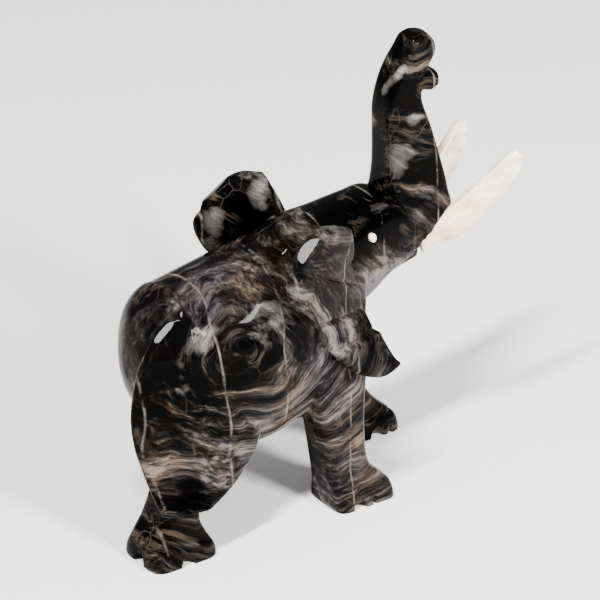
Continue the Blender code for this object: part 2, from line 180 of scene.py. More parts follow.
# Notches round the soles, as places along x: a wide one and, on the fore feet, a slit beside it.
# Their half sizes go along the edge of the sole, into the foot and up.
NOTCHES = {
    "right_fore": (-6.5, 1.0),
    "left_fore": (35.5, 42.5),
    "right_hind": (-92.5, None),
    "left_hind": (-57, None),
}
NOTCH_HALF = (3.2, 4.2, 5.4)
SLIT_HALF = (0.9, 2.4, 6.5)
FRONT_SLIT_SHARES = (-0.22, 0.22)

# Groove over the toes of the fore feet, round the third station of the leg. It starts and ends
# as shares of its depth and height, and fades over the first and last steps.
TOE_STATION = 2
TOE_TOP = 9.8
TOE_GROOVE_DEPTH = 2.2
TOE_GROOVE_HALF = 1.4
TOE_GROOVE_END_DEPTH = 0.15
TOE_GROOVE_END_HALF = 0.2
TOE_GROOVE_REACH = math.radians(112)
TOE_GROOVE_STEPS = 60
TOE_GROOVE_FADE_STEPS = 10

# Ears, for the left side: points down the rim and down the hinge on the cheek
EAR_RIM = [Vector(p) for p in (
    (-12, 29.5, 134.0), (-21, 30.5, 135.5), (-34, 33, 129.5), (-42, 36, 119.5), (-38, 34.5, 106),
    (-28, 33, 93), (-20.5, 33.5, 79), (-10.5, 35, 68), (2, 36, 62), (13, 35.5, 64))]
EAR_HINGE = [Vector(p) for p in (
    (-9, 28, 132), (-4.2, 25, 121), (-0.5, 19.3, 106), (3.2, 19.3, 94), (3.6, 19.5, 90.5),
    (4.2, 20.5, 87), (6, 27, 80), (7.6, 29.5, 75.5), (9.6, 32, 70.5), (11.5, 34, 66))]
EAR_OUT = Vector((0.32, 0.94, 0.08)).normalized()

# Notches in the rim, down the ear, with the lobes between them
EAR_NOTCHES = (0.0, 0.30, 0.56, 0.68, 1.0)
EAR_NOTCH_DEPTHS = (1.0, 1.1, 0.4, 0.5, 1.0)
EAR_SCALLOP = 3.2
EAR_SCALLOP_LEVEL = 0.6
EAR_LOBE_LEAN = 1.25
EAR_LOBE_FULLNESS = 0.75

# Section of the ear: thicker at the root, slightly domed, with a round, thinner edge. The outer
# face never sinks lower than a share of half the thickness.
EAR_LENGTH = 120
EAR_THICKNESS = 6.0
EAR_ROOT = 5.0
EAR_ROOT_REACH = 0.6
EAR_DOME = 1.8
EAR_ROUND = 1.6
EAR_THIN_EDGE = 0.85
EAR_LOWEST = -0.5

# The lobes lie like shingles, with a groove between: (place down the ear, how far it stands out)
EAR_SHINGLES = (
    (0.0, 0.2),
    (0.08, 0.5),
    (0.27, 0.3),
    (0.286, -0.9),
    (0.302, 0.9),
    (0.536, 0.3),
    (0.552, -2.3),
    (0.568, 0.9),
    (0.656, -0.6),
    (0.670, -2.3),
    (0.682, 2.0),
    (1.0, 0.4),
)

# Bevel down the rim, as (place, width), and how steeply it drops
EAR_BEVELS = ((0.0, 0.6), (0.29, 0.8), (0.31, 3.0), (0.40, 1.0), (1.0, 1.0))
EAR_BEVEL_SLOPE = 1.1

# Crease across the top lobe, from the hinge
EAR_CREASE = 0.195
EAR_CREASE_HALF = 0.016
EAR_CREASE_DEPTH = 1.3
EAR_CREASE_REACH = 0.62
EAR_CREASE_FADE = 0.25

# Divisions of the ear across and down
EAR_ACROSS = 48
EAR_DOWN = 200

# Tail in relief: (x, y, z, width)
TAIL = [
    (-78.5, -11.6, 107.2, 0.4),
    (-85.5, -12.8, 104.2, 1.2),
    (-92.4, -13.6, 98.6, 1.8),
    (-97.8, -13.8, 91.5, 1.6),
    (-99.5, -14.6, 84, 0.8),
]
TAIL_SQUARENESS = 5.0

# Tusks and eyes, for the left side, in parts or shares where MM isn't named
TUSK_LENGTH = 52 * MM
TUSK_WIDTH = 15.5 * MM
TUSK_THICKNESS = 7.8 * MM
TUSK_SAG = 0.32
TUSK_SEAT = 6 * MM
TUSK_ROOT = (50, 10, 103.4)
TUSK_CHORD = (0.753, 0.190, 0.629)
TUSK_LIFT = (-0.610, -0.154, 0.777)
TUSK_LEAN = (-0.2, 0, 1)
TUSK_SHARES = (0.0, 0.2, 0.4, 0.6, 0.8, 0.93, 1.0)
TUSK_FULLNESS = (0.86, 1.0, 1.0, 0.96, 0.84, 0.6, 0.26)
TUSK_SEAT_FULLNESS = 0.8
TUSK_SQUARENESS = 2.2
EYE_LENGTH = 4.4 * MM
EYE_WIDTH = 3.4 * MM
EYE_SEAT = 1.6 * MM
EYE_PROUD = 0.3 * MM
EYE_CROWN = ((0.2, 1), (0.8, 0.8), (1.0, 0.4))
EYE_PLACE = (14.5, 16.5, 115)
EYE_OUT = (0.12, 1, 0.12)
EYE_SLANT = (0.55, 0, -1)
SEAT_GAP = 0.3 * MM

# Facets ground flat after the carving, three along the haunch and one on the rim of each ear: a
# point, the way that it faces and its reach, in parts
FACETS = (
    ((-84.0, -14.2, 105.2), (-0.395, -0.506, 0.765), 20),
    ((-87.0, -14.5, 103.0), (-0.468, -0.514, 0.718), 26),
    ((-94.0, -14.8, 98.4), (-0.537, -0.518, 0.665), 20),
    ((-29.3, -34.1, 132.3), (-0.468, -0.514, 0.718), 18),
    ((-29.2, 34.2, 131.9), (-0.468, 0.514, 0.718), 18),
)

# A face larger than this, in square metres, is on a ground facet, and is shaded flat
FLAT_AREA = 2e-6

# Marble, in mm: the core that its beds are rolled round, and the place along x from which they
# are drawn out, by what share and how gently it begins
MARBLE_CORE = (-50, -20, 92)
MARBLE_KNEE = -12
MARBLE_DRAWN = 0.25
MARBLE_KNEE_BLEND = 20

# The core is long across the body, and the beds lean on their way out from it
MARBLE_SQUASH = (1, 0.25, 1)
MARBLE_LEAN = (0.14, 0.40, 0.20)

# Its bands as (size in mm, detail, contrast), and where it turns paler or darker and where white
# cloud patches gather or stay away, as (middle, reach, shift), in mm. Some paler places are painted
# reflection of the pale room and floor, and some white patches are painted highlights.
BANDS = ((16, 2, 1.6), (4.5, 4, 1.0), (1.2, 3, 0.9))
MARBLE_TONE_AND_REFLECTION_ZONES = (
    ((25, 2, 132), 36, -0.45),
    ((46, 0, 150), 45, -0.12),
    ((-8, 38, 116), 52, -0.22),
    ((-44, -28, 94), 36, -0.16),
    ((-84, -20, 78), 38, -0.32),
    ((60, 0, 190), 26, -0.06),
    ((14, -14, 122), 22, -0.50),
    # The paler jaw and right ear: partly painted reflection of the pale room and floor
    ((33, -15, 96), 34, 0.55),
    ((-2, -36, 112), 44, 0.26),
    # The paler belly: partly painted reflection of the pale floor
    ((-30, -30, 48), 40, 0.16),
    ((-76, -33, 42), 26, -0.10),
    ((-85, -22, 10), 30, -0.16),
    # The paler fore shank: partly painted reflection of the pale floor
    ((10, -30, 34), 46, 0.22),
    # The paler rear of the rump: painted reflection of the pale room
    ((-84, 16, 84), 36, 0.44),
    ((-44, -12, 118), 38, 0.34),
)
CLOUDS_AND_PAINTED_HIGHLIGHTS = (
    ((-58, -32, 94), 16, -0.10),
    # A white patch on the flank: partly a cloud, partly a painted reflection of the side window
    ((-67, -22, 99), 12, 0.19),
    ((-34, -32, 104), 20, 0.12),
    ((41, -10, 144), 14, 0.28),
    ((50, -9, 162), 8, 0.20),
    ((60, -5, 193), 6, 0.10),
    ((50, -4, 190), 16, -0.16),
    ((50, -10, 130), 16, -0.16),
    ((-64, -31, 54), 15, -0.16),
    ((-6, -37, 80), 10, 0.25),
    ((12, -36, 78), 14, -0.16),
    # Two white patches on the left ear: painted reflections
    ((-24, 34, 121), 11, 0.42),
    ((-5, 32, 126), 11, 0.42),
    # Five spots in a row make a painted highlight up the back edge of the trunk
    ((40.3, -0.8, 175.2), 3.6, 0.24),
    ((41.6, -2.4, 178), 3.6, 0.24),
    ((43, -4.2, 181), 3.6, 0.24),
    ((44.6, -5.6, 184), 3.6, 0.24),
    ((46.4, -6.8, 187), 3.6, 0.24),
)
CLOUD_STRETCH = (0.6, 1.8, 2.8)

# Waves that fold the beds, make the veins wander and bend the cracks, as (size, shift) in mm
FOLDS = ((60, 34), (22, 9), (6, 1.6))
VEIN_WAVES = ((45, 12), (9, 1.0))
CRACK_WAVES = ((14, 9),)

# Sizes of what the marble and the onyx show, in mm
ZONE_SIZE = 40
STAIN_SIZE = 20
THREAD_SIZE = 5
PATCH_SIZE = 24
CLOUD_SIZE = 13
VEIN_SPACING = 31
VEIN_FADING = 16
CRACK_SPACING = 22
CRACK_STRENGTH = 0.25
POLISH_WAVE = 7
POLISH_WAVE_HEIGHT = 0.08
ONYX_BAND = 6
SUGAR_GRAIN = 1.1

# A metre in mm: the scale of a pattern is this over its real size. A noise swings about its middle.
METRE = 1000
MIDDLE = 0.5

NOISE = "ShaderNodeTexNoise"
MATH = "ShaderNodeMath"
VECTOR = "ShaderNodeVectorMath"
RAMP = "ShaderNodeValToRGB"
MIX = "ShaderNodeMix"
JOIN = "ShaderNodeCombineXYZ"
SPLIT = "ShaderNodeSeparateXYZ"

# Room: its even light, the half width of the floor in m, and two windows as (name, way to it from
# the lit middle, distance, width and height in m, turn in degrees, power in W)
ROOM_LIGHT = 0.6
FLOOR_HALF = 4
LIT_MIDDLE = (0, 0, 0.09)
WINDOWS = (
    ("window_behind", (-0.403, -0.244, 0.882), 2.25, (0.90, 0.12), 70, 120.0),
    ("window_side", (0.181, -0.818, 0.546), 1.22, (0.38, 0.10), 55, 32.0),
)

# Camera, behind the right side and above: its distance in m, its sensor in mm, and the width that
# it sees and its target, in parts of a figure 200 mm tall
AZIMUTH = math.radians(-35)
ELEVATION = math.radians(28)
VIEW_DISTANCE = 2.0
SENSOR = 36
CLIP_START = 0.01
VIEW_PART = 200 * MM / TOP
VIEW_WIDTH = 253.7
VIEW_TARGET = (-11.6, 0, 86.1)


def smooth_between(values, t):
    """Catmull-Rom value at t, from 0 at the first of the values to 1 at the last."""
    spans = len(values) - 1
    place = min(max(t, 0.0), 1.0) * spans
    k = min(int(place), spans - 1)
    f = place - k
    a, b, c, d = (values[min(max(k + j, 0), spans)] for j in (-1, 0, 1, 2))
    return 0.5 * ((2 * b) + (c - a) * f + (2 * a - 5 * b + 4 * c - d) * f ** 2
                  + (3 * b - a - 3 * c + d) * f ** 3)


def eased(t):
    """0 to 1 with a soft start and end."""
    t = min(max(t, 0.0), 1.0)
    return t * t * (3 - 2 * t)


def squared(angle, squareness):
    """Point of a rounded square of half size 1: squareness 2 is a circle."""
    c = math.cos(angle)
    s = math.sin(angle)
    power = 2 / squareness
    return math.copysign(abs(c) ** power, c), math.copysign(abs(s) ** power, s)


def tube(stations, sides=120, steps=12, unit=PART):
    """Closed form through stations of (centre, half axis, half axis, squareness)."""
    bm = bmesh.new()
    count = (len(stations) - 1) * steps
    grid = bmesh.ops.create_grid(bm, x_segments=sides, y_segments=count, size=1)["verts"]
    columns = [[Vector(station[k]) for station in stations] for k in range(3)]
    hardness = [station[3] for station in stations]
    rings = {}
    for vert in grid:
        ring = round((vert.co.y + 1) / 2 * count)
        if ring not in rings:
            rings[ring] = [smooth_between(column, ring / count) for column in columns]
            rings[ring].append(smooth_between(hardness, ring / count))
        centre, across, along, square = rings[ring]
        a, b = squared(math.pi * (vert.co.x + 1 + 1 / sides), square)
        vert.co = (centre + across * a + along * b) * unit
    bmesh.ops.remove_doubles(bm, verts=bm.verts, dist=WELD)
    bmesh.ops.holes_fill(bm, edges=bm.edges, sides=0)
    bmesh.ops.recalc_face_normals(bm, faces=bm.faces)
    return bm


def rounded(stations, start=0.0, end=0.0):
    """The stations with a round cap, start and end deep, past either end."""
    shares = [math.sin(math.radians(angle)) for angle in range(CAP_STEP, 90, CAP_STEP)]
    result = list(stations)
    for depth, first in ((start, True), (end, False)):
        if not depth:
            continue
        centre, across, along, square = stations[0] if first else stations[-1]
        inner = stations[1][0] if first else stations[-2][0]
        way = (Vector(centre) - Vector(inner)).normalized()
        for share in shares:
            shrink = math.sqrt(1 - share ** 2)
            cap = (Vector(centre) + way * depth * share, Vector(across) * shrink,
                   Vector(along) * shrink, square)
            if first:
                result.insert(0, cap)
            else:
                result.append(cap)
    return result


def lengthwise(rows, sway=0.0):
    """Stations along x; sway moves the first of them to the left."""
    return [((x, 0 if k else sway, (low + high) / 2), (0, half, 0), (0, 0, (high - low) / 2), square)
            for k, (x, low, high, half, square) in enumerate(rows)]


def upright(rows):
    """Stations up a leg."""
    return [(((back + front) / 2, (right + left) / 2, z), ((front - back) / 2, 0, 0),
             (0, (left - right) / 2, 0), square)
            for z, back, front, right, left, square in rows]


def in_profile(rows):
    """Stations along the trunk, from its back and front edges."""
    stations = []
    for back_x, back_z, front_x, front_z, half, square in rows:
        centre = ((back_x + front_x) / 2, 0, (back_z + front_z) / 2)
        along = ((front_x - back_x) / 2, 0, (front_z - back_z) / 2)
        stations.append((centre, (0, half, 0), along, square))
    return stations


def trunk_ledge():
    """Stations of the ledge, with its round front."""
    stations = [((x, 0, z), (0, half, 0), (lean, 0, tall), square)
                for x, z, half, lean, tall, square in LEDGE]
    return rounded(stations, end=LEDGE_DEPTH)


def haunch():
    """Stations up the haunch, each hung from the corner that runs up its arris."""
    stations = []
    for z, x, y, length, width, turn, square in HAUNCH:
        angle = math.radians(turn)
        rear = angle * HAUNCH_REAR_TURN
        along = Vector((math.cos(angle), math.sin(angle), 0)) * length / 2
        across = Vector((-math.sin(rear), math.cos(rear), 0)) * width / 2
        corner = 2 ** (-1 / square)
        stations.append((Vector((x, y, z)) + (along + across) * corner, along, across, square))
    return stations


def lobe(t):
    """0 in a notch of the ear, 1 in the middle of a lobe."""
    for low, high in zip(EAR_NOTCHES, EAR_NOTCHES[1:]):
        if t <= high:
            share = min(max((t - low) / (high - low), 0.0), 1.0)
            return math.sin(math.pi * share ** EAR_LOBE_LEAN) ** EAR_LOBE_FULLNESS
    return 0.0


def between(places, t):
    """Value at t along straight lines through pairs of (place, value)."""
    for (low, one), (high, two) in zip(places, places[1:]):
        if t <= high:
            return one + (two - one) * (t - low) / (high - low)
    return places[-1][1]


def ear_point(t, s, outer):
    """Point of the left ear, t down its length and s from the hinge to the rim."""
    rim = smooth_between(EAR_RIM, t)
    hinge = smooth_between(EAR_HINGE, t)
    spread = (rim - hinge).normalized()
    depth = between(list(zip(EAR_NOTCHES, EAR_NOTCH_DEPTHS)), t)
    edge = rim + spread * EAR_SCALLOP * depth * (lobe(t) - EAR_SCALLOP_LEVEL)
    breadth = (edge - hinge).length
    ends = min(t, 1 - t) * EAR_LENGTH
    inset = max(0, 1 - min(s * breadth, (1 - s) * breadth, ends) / EAR_ROUND)
    half = EAR_THICKNESS / 2 * (1 - EAR_THIN_EDGE * (1 - math.sqrt(1 - inset ** 2)))
    rise = EAR_DOME * math.sin(math.pi * s)
    if not outer:
        half += EAR_ROOT * (1 - eased(s / EAR_ROOT_REACH))
        return hinge.lerp(edge, s) + EAR_OUT * (rise - half)
    crease = max(0, 1 - abs(t - EAR_CREASE) / EAR_CREASE_HALF)
    relief = between(EAR_SHINGLES, t)
    relief -= EAR_BEVEL_SLOPE * max(0, between(EAR_BEVELS, t) - (1 - s) * breadth)
    relief -= EAR_CREASE_DEPTH * crease * eased((EAR_CREASE_REACH - s) / EAR_CREASE_FADE)
    rise += max(half + relief, half * EAR_LOWEST)
    return hinge.lerp(edge, s) + EAR_OUT * rise


def ear(side):
    """Fluted ear: a sheet shaped on its outer face, then thickened inwards."""
    bm = bmesh.new()
    place = bm.verts.layers.float_vector.new("place")
    sheet = bmesh.ops.create_grid(bm, x_segments=EAR_ACROSS, y_segments=EAR_DOWN, size=1)["verts"]
    for vert in sheet:
        vert[place] = ((vert.co.y + 1) / 2, (vert.co.x + 1) / 2, 0)
    grown = bmesh.ops.extrude_face_region(bm, geom=bm.faces[:], use_keep_orig=True)["geom"]
    inner = {item for item in grown if isinstance(item, bmesh.types.BMVert)}
    for vert in bm.verts:
        t, s = vert[place][:2]
        point = ear_point(t, s, vert not in inner)
        point.y *= side
        vert.co = point * PART
    bmesh.ops.recalc_face_normals(bm, faces=bm.faces)
    return bm


def tail():
    """Stations down the tail, set on edge."""
    stations = []
    for x, y, z, width in TAIL:
        half = width * math.sqrt(0.5)
        stations.append(((x, y, z), (half, half, 0), (half, -half, 0), TAIL_SQUARENESS))
    return stations


def toe_groove(name):
    """Cord round the front of a fore foot, which cuts its groove."""
    back, front, right, left, square = LEGS[name][TOE_STATION][1:]
    centre = Vector(((back + front) / 2, (right + left) / 2, 0))
    half = Vector(((front - back) / 2, (left - right) / 2, 0))
    stations = []
    for k in range(TOE_GROOVE_STEPS + 1):
        angle = TOE_GROOVE_REACH * (2 * k / TOE_GROOVE_STEPS - 1)
        a, b = squared(angle, square)
        out = Vector((half.x * a, half.y * b, 0))
        fade = eased(min(k, TOE_GROOVE_STEPS - k) / TOE_GROOVE_FADE_STEPS)
        deep = TOE_GROOVE_DEPTH * (TOE_GROOVE_END_DEPTH + (1 - TOE_GROOVE_END_DEPTH) * fade)
        tall = TOE_GROOVE_HALF * (TOE_GROOVE_END_HALF + (1 - TOE_GROOVE_END_HALF) * fade)
        stations.append((centre + out + Vector((0, 0, TOE_TOP)), out.normalized() * deep,
                         (0, 0, tall), 2))
    return tube(stations, sides=16, steps=1)


def scoop(place, size):
    """Rounded hollow, a ball stretched to the half sizes."""
    bm = bmesh.new()
    for vert in bmesh.ops.create_icosphere(bm, subdivisions=3, radius=1)["verts"]:
        vert.co = Vector([place[k] + vert.co[k] * size[k] for k in range(3)]) * PART
    return bm


def sole_notches(name):
    """Arches and slits that divide the sole of one foot into toes."""
    along, deep, tall = NOTCH_HALF
    notch_x, slit_x = NOTCHES[name]
    back, front, right, left = LEGS[name][0][1:5]
    middle = (right + left) / 2
    hollows = [scoop((notch_x, side, 0), NOTCH_HALF) for side in (right, left)]
    if slit_x is None:
        hollows += [scoop((end, middle, 0), (deep, along, tall)) for end in (back, front)]
        return hollows
    hollows += [scoop((slit_x, side, 0), SLIT_HALF) for side in (right, left)]
    for share in FRONT_SLIT_SHARES:
        place = (front, middle + share * (left - right), 0)
        hollows.append(scoop(place, (SLIT_HALF[1], SLIT_HALF[0], SLIT_HALF[2])))
    return hollows


def mirrored(direction, side):
    """The left side's direction or place, on the side: 1 is left, -1 right."""
    return Vector((direction[0], direction[1] * side, direction[2]))


def tusk(side, grow=0.0, sides=64, steps=8):
    """Tusk from the end of its seat to its blunt tip; grow makes it larger all round."""
    root = mirrored(TUSK_ROOT, side) * PART
    chord = mirrored(TUSK_CHORD, side).normalized()
    lift = mirrored(TUSK_LIFT, side).normalized()
    shares = (-(TUSK_SEAT + grow) / TUSK_LENGTH, *TUSK_SHARES)
    stations = []
    for share, full in zip(shares, (TUSK_SEAT_FULLNESS, *TUSK_FULLNESS)):
        centre = root + (chord * share - lift * TUSK_SAG * share * (1 - share)) * TUSK_LENGTH
        way = (chord - lift * TUSK_SAG * (1 - 2 * share)).normalized()
        out = way.cross(Vector(TUSK_LEAN)).normalized()
        tall = out.cross(way).normalized()
        stations.append((centre, tall * (TUSK_WIDTH / 2 * full + grow),
                         out * (TUSK_THICKNESS / 2 * full + grow), TUSK_SQUARENESS))
    return tube(stations, sides, steps, unit=1)


def eye(side, grow=0.0):
    """Oval inlay, a short plug with a low crown; grow makes it larger all round."""
    place = mirrored(EYE_PLACE, side) * PART
    out = mirrored(EYE_OUT, side).normalized()
    along = Vector(EYE_SLANT).cross(out).cross(out).normalized() * (EYE_LENGTH / 2 + grow)
    over = out.cross(along).normalized() * (EYE_WIDTH / 2 + grow)
    rows = [(-EYE_SEAT - grow, 1)] + [(EYE_PROUD * rise, share) for rise, share in EYE_CROWN]
    return tube([(place + out * depth, along * share, over * share, 2)
                 for depth, share in rows], sides=40, steps=1, unit=1)


def new_object(name, bm):
    """The shape as an object of the scene."""
    mesh = bpy.data.meshes.new(name)
    bm.to_mesh(mesh)
    bm.free()
    obj = bpy.data.objects.new(name, mesh)
    bpy.context.scene.collection.objects.link(obj)
    return obj


def finished_mesh(obj):
    """The object's mesh with its modifiers worked in."""
    bpy.context.view_layer.update()
    return bpy.data.meshes.new_from_object(obj.evaluated_get(bpy.context.evaluated_depsgraph_get()))


def cut_from(bm, hollows):
    """The form less each hollow."""
    body = new_object("form", bm)
    tools = []
    for hollow in hollows:
        tool = new_object("hollow", hollow)
        tools.append(tool)
        boolean = body.modifiers.new("cut", "BOOLEAN")
        boolean.operation = "DIFFERENCE"
        boolean.solver = "EXACT"
        boolean.object = tool
    result = bmesh.new()
    result.from_mesh(finished_mesh(body))
    for obj in (body, *tools):
        bpy.data.objects.remove(obj, do_unlink=True)
    return result


def facet(point, way, reach):
    """Block that takes off what stands above a plane."""
    turn = Vector(way).to_track_quat("Z", "Y")
    middle = (Vector(point) + turn @ Vector((0, 0, reach / 2))) * PART
    bm = bmesh.new()
    bmesh.ops.create_cube(bm, size=reach * PART, matrix=Matrix.LocRotScale(middle, turn, None))
    return bm


def sockets():
    """Hollows that the ends of the tusks sit in."""
    return [tusk(side, SEAT_GAP, sides=32, steps=2) for side in (-1, 1)]


def carved_forms():
    """Every form of the body, with the cuts that reach it, still overlapping."""
    seats = [eye(side, SEAT_GAP) for side in (-1, 1)]
    yield tube(rounded(lengthwise(TORSO, RUMP_SWAY), start=RUMP_DEPTH, end=CHEST_DEPTH), sides=200)
    yield cut_from(tube(rounded(lengthwise(HEAD), end=FACE_DEPTH)), sockets() + seats)
    yield cut_from(tube(rounded(lengthwise(JAW), end=LIP_DEPTH)), sockets())
    yield cut_from(tube(in_profile(TRUNK)), sockets())
    yield tube(trunk_ledge(), sides=80)
    for name, rows in LEGS.items():
        leg = tube(upright(rows), sides=100)
        bmesh.ops.bisect_plane(leg, geom=leg.verts[:] + leg.edges[:] + leg.faces[:], dist=WELD,
                               plane_co=(0, 0, 0), plane_no=(0, 0, 1), clear_inner=True)
        bmesh.ops.holes_fill(leg, edges=leg.edges, sides=0)
        hollows = sole_notches(name)
        if NOTCHES[name][1] is not None:
            hollows.append(toe_groove(name))
        yield cut_from(leg, hollows)
    yield tube(haunch(), sides=160)
    yield tube(tail(), sides=40)
    for side in (-1, 1):
        yield ear(side)


def carve():
    """Fuses the forms into one surface, polishes it, thins it and grinds its facets."""
    whole = bmesh.new()
    for form in carved_forms():
        part = bpy.data.meshes.new("form")
        form.to_mesh(part)
        form.free()
        whole.from_mesh(part)
        bpy.data.meshes.remove(part)
    body = new_object("forms", whole)
    remesh = body.modifiers.new("carve", "REMESH")
    remesh.mode = "VOXEL"
    remesh.voxel_size = GRAIN
    polish = body.modifiers.new("polish", "SMOOTH")
    polish.factor = POLISH_STRENGTH
    polish.iterations = POLISH_PASSES
    mesh = finished_mesh(body)
    triangles = sum(len(face.vertices) - 2 for face in mesh.polygons)
    thin = body.modifiers.new("thin", "DECIMATE")
    thin.ratio = min(1, CARVED_TRIANGLES / triangles)
    thin.use_collapse_triangulate = True
    bm = bmesh.new()
    bm.from_mesh(finished_mesh(body))
    bpy.data.objects.remove(body, do_unlink=True)
    return cut_from(bm, [facet(*row) for row in FACETS])


def set_in_place(bm, name, node, material, shift):
    """Puts a piece where its solid stands and hands it to the frame."""
    bmesh.ops.translate(bm, verts=bm.verts, vec=shift)
    obj = new_object(name, bm)
    obj.data.materials.append(material)
    for face in obj.data.polygons:
        face.use_smooth = face.area < FLAT_AREA
    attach(obj, "root")
    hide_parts(node)


def linear(code):
    """sRGB hex colour as linear RGBA."""
    shares = [int(code[k:k + 2], 16) / 255 for k in (1, 3, 5)]
    return (*[c / 12.92 if c <= 0.04045 else ((c + 0.055) / 1.055) ** 2.4 for c in shares], 1)


def add(tree, kind, inputs=None, stops=(), **settings):
    """Adds a node. An input is a number, a hex colour or a node, whose live output it takes;
    stops are the places and shades of a ramp."""
    node = tree.nodes.new(kind)
    for key, value in settings.items():
        setattr(node, key, value)
    for key, value in (inputs or {}).items():
        if isinstance(value, bpy.types.Node):
            value = next(socket for socket in value.outputs if socket.enabled)
        if isinstance(value, bpy.types.NodeSocket):
            tree.links.new(value, node.inputs[key])
        else:
            node.inputs[key].default_value = linear(value) if isinstance(value, str) else value
    if stops:
        elements = node.color_ramp.elements
        while len(elements) < len(stops):
            elements.new(0.5)
        for element, (place, shade) in zip(elements, stops):
            element.position = place
            element.color = linear(shade) if isinstance(shade, str) else (shade, shade, shade, 1)
    return node


def new_material(name):
    """A material with its node tree and its shader."""
    made = bpy.data.materials.new(name)
    made.use_nodes = True
    tree = made.node_tree
    tree.nodes.clear()
    shader = add(tree, "ShaderNodeBsdfPrincipled")
    add(tree, "ShaderNodeOutputMaterial", {"Surface": shader})
    return made, tree, shader


def folded(tree, place, waves):
    """The place, moved to and fro in one wave after another."""
    for size_mm, shift_mm in waves:
        wave = add(tree, NOISE, {"Vector": place, "Scale": METRE / size_mm, "Detail": 2})
        wave = add(tree, VECTOR, {0: wave.outputs["Color"], 1: (MIDDLE,) * 3},
                   operation="SUBTRACT")
        reach = (shift_mm * MM,) * 3
        place = add(tree, VECTOR, {0: wave, 1: reach, 2: place}, operation="MULTIPLY_ADD")
    return place


def gathered(tree, place, value, spots):
    """The value, shifted round each of the spots."""
    for middle, reach, shift in spots:
        away = add(tree, VECTOR, {0: place, 1: Vector(middle) * MM}, operation="DISTANCE")
        near = add(tree, MATH, {0: away.outputs["Value"], 1: reach * MM}, operation="DIVIDE")
        near = add(tree, RAMP, {0: near}, ((0.25, 1.0), (1.0, 0.0)))
        value = add(tree, MATH, {0: near, 1: shift, 2: value}, operation="MULTIPLY_ADD")
    return value


